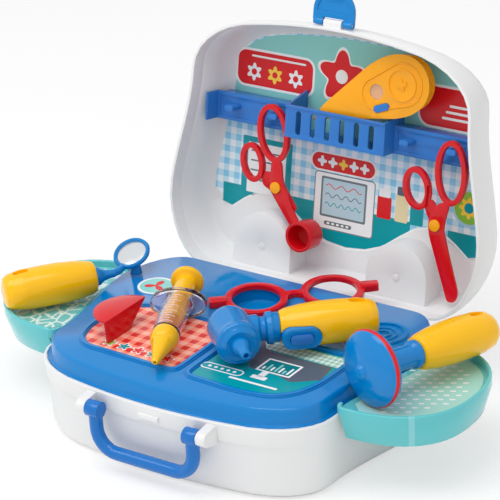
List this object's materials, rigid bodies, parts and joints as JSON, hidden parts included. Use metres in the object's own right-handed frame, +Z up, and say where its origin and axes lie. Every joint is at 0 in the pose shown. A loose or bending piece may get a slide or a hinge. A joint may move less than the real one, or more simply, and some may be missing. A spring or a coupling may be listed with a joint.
{
  "type": "toy doctor case",
  "caption": "Toy doctor case, open, with clip-on side trays and play instruments laid out: tongs, scissors, thermometer, syringe, otoscope, hammer, mirror, glasses and clip.",
  "frame": {"origin": "centre of the case's underside, on the resting plane", "axes": "+X right, +Y towards the lid hinge, +Z up"},
  "size_m": [0.417, 0.3181, 0.2953],
  "materials": {
    "white_abs": "moulded, soft gloss",
    "blue_insert": "moulded, gloss",
    "rail_blue": "moulded, gloss",
    "printed_film": "printed vinyl film",
    "pin_steel": "drawn wire",
    "aqua_plastic": "translucent, pearl",
    "red_plastic": "moulded, gloss",
    "yellow_plastic": "moulded, gloss",
    "amber_plastic": "moulded, gloss",
    "clear_plastic": "clear moulding",
    "mirror_foil": "bright foil"
  },
  "bodies": {
    "case": {"base_shell": "white_abs", "deck": "blue_insert", "sticker_front_left": "printed_film", "sticker_front_right": "printed_film", "sticker_round": "printed_film", "hinge_pin_left": "pin_steel", "hinge_pin_right": "pin_steel"},
    "lid": {"lid_shell": "white_abs", "lid_sticker": "printed_film", "lid_rail": "rail_blue", "axle_left": "white_abs", "axle_right": "white_abs", "latch_pin": "pin_steel"},
    "latch": {"latch": "blue_insert"},
    "handle": {"handle": "rail_blue"},
    "tray_l": {"tray_left": "aqua_plastic", "tray_left_sticker": "printed_film"},
    "tray_r": {"tray_right": "aqua_plastic", "tray_right_sticker": "printed_film"},
    "wheel_l": {"wheel_left": "rail_blue"},
    "wheel_r": {"wheel_right": "rail_blue"},
    "tongs": {"forceps_front": "red_plastic", "forceps_rivet": "yellow_plastic"},
    "tongs_back": {"forceps_back": "red_plastic"},
    "shears": {"scissors_front": "red_plastic", "scissors_rivet": "yellow_plastic"},
    "shears_back": {"scissors_back": "red_plastic"},
    "thermo": {"thermometer_front": "amber_plastic", "thermometer_back": "amber_plastic", "thermometer_window": "clear_plastic"},
    "dial": {"thermometer_dial": "blue_insert"},
    "thermo_key": {"thermometer_button": "rail_blue"},
    "syringe": {"syringe_barrel": "clear_plastic", "syringe_nose": "yellow_plastic"},
    "plunger": {"syringe_plunger": "yellow_plastic"},
    "otoscope": {"otoscope_head": "blue_insert", "otoscope_nozzle": "blue_insert", "otoscope_grip": "yellow_plastic", "otoscope_saddle": "blue_insert"},
    "oto_key": {"otoscope_button": "blue_insert"},
    "hammer": {"hammer_head": "blue_insert", "hammer_ring": "red_plastic", "hammer_grip": "yellow_plastic"},
    "mirror": {"mirror_frame": "blue_insert", "mirror_glass": "mirror_foil", "mirror_grip": "yellow_plastic"},
    "spectacles": {"glasses": "red_plastic"},
    "pinch_clip": {"clip": "red_plastic"}
  },
  "joints": [
    {"name": "lid_hinge", "type": "hinge", "parent": "case", "child": "lid", "pos_m": [0, 0.1099, 0.0545], "axis": [-1, 0, 0], "range_deg": [-45, 0]},
    {"name": "latch_hinge", "type": "hinge", "parent": "lid", "child": "latch", "pos_m": [0, 0.1604, 0.26853], "axis": [1, 0, 0], "range_deg": [0, 95]},
    {"name": "handle_hinge", "type": "hinge", "parent": "case", "child": "handle", "pos_m": [0, -0.1135, 0.05], "axis": [-1, 0, 0], "range_deg": [0, 95]},
    {"name": "tray_left_pull", "type": "slide", "parent": "case", "child": "tray_l", "axis": [-1, 0, 0], "range_m": [0, 0.035]},
    {"name": "tray_right_pull", "type": "slide", "parent": "case", "child": "tray_r", "axis": [1, 0, 0], "range_m": [0, 0.035]},
    {"name": "wheel_left_spin", "type": "hinge", "parent": "lid", "child": "wheel_l", "pos_m": [-0.0632, 0.14902, 0.07279], "axis": [0, 0.9823, -0.1874], "continuous": true},
    {"name": "wheel_right_spin", "type": "hinge", "parent": "lid", "child": "wheel_r", "pos_m": [0.0632, 0.14902, 0.07279], "axis": [0, 0.9823, -0.1874], "continuous": true},
    {"name": "tongs_liftoff", "type": "slide", "parent": "lid", "child": "tongs", "axis": [0, -0.9823, 0.1874], "range_m": [0, 0.025]},
    {"name": "tongs_pivot", "type": "hinge", "parent": "tongs", "child": "tongs_back", "pos_m": [-0.0547, 0.15059, 0.1237], "axis": [0, -0.9823, 0.1874], "range_deg": [0, 25]},
    {"name": "scissors_liftoff", "type": "slide", "parent": "lid", "child": "shears", "axis": [0, -0.9823, 0.1874], "range_m": [0, 0.025]},
    {"name": "scissors_pivot", "type": "hinge", "parent": "shears", "child": "shears_back", "pos_m": [0.0931, 0.15014, 0.12134], "axis": [0, -0.9823, 0.1874], "range_deg": [0, 12]},
    {"name": "thermometer_tip", "type": "hinge", "parent": "lid", "child": "thermo", "pos_m": [0, 0.1605, 0.19541], "axis": [1, 0, 0], "range_deg": [0, 25]},
    {"name": "thermometer_dial_spin", "type": "hinge", "parent": "thermo", "child": "dial", "pos_m": [0.04576, 0.17548, 0.2355], "axis": [0, 0.9823, -0.1874], "continuous": true},
    {"name": "thermometer_button_press", "type": "slide", "parent": "thermo", "child": "thermo_key", "axis": [0, 0.9823, -0.1874], "range_m": [0, 0.0008], "stiffness_N_per_m": 300, "springref_m": -0.001},
    {"name": "syringe_liftoff", "type": "slide", "parent": "case", "child": "syringe", "axis": [0, 0, 1], "range_m": [0, 0.06]},
    {"name": "plunger_slide", "type": "slide", "parent": "syringe", "child": "plunger", "axis": [0.4159, -0.9085, -0.0401], "range_m": [0, 0.019]},
    {"name": "otoscope_liftoff", "type": "slide", "parent": "case", "child": "otoscope", "axis": [0, 0, 1], "range_m": [0, 0.06]},
    {"name": "otoscope_button_press", "type": "slide", "parent": "otoscope", "child": "oto_key", "axis": [-0.6613, 0.7501, 0], "range_m": [0, 0.0013], "stiffness_N_per_m": 400, "springref_m": -0.001},
    {"name": "hammer_liftoff", "type": "slide", "parent": "tray_r", "child": "hammer", "axis": [0, 0, 1], "range_m": [0, 0.06]},
    {"name": "mirror_liftoff", "type": "slide", "parent": "tray_l", "child": "mirror", "axis": [0, 0, 1], "range_m": [0, 0.06]},
    {"name": "glasses_liftoff", "type": "slide", "parent": "case", "child": "spectacles", "axis": [0, 0, 1], "range_m": [0, 0.06]},
    {"name": "clip_liftoff", "type": "slide", "parent": "case", "child": "pinch_clip", "axis": [0, 0, 1], "range_m": [0, 0.06]}
  ]
}
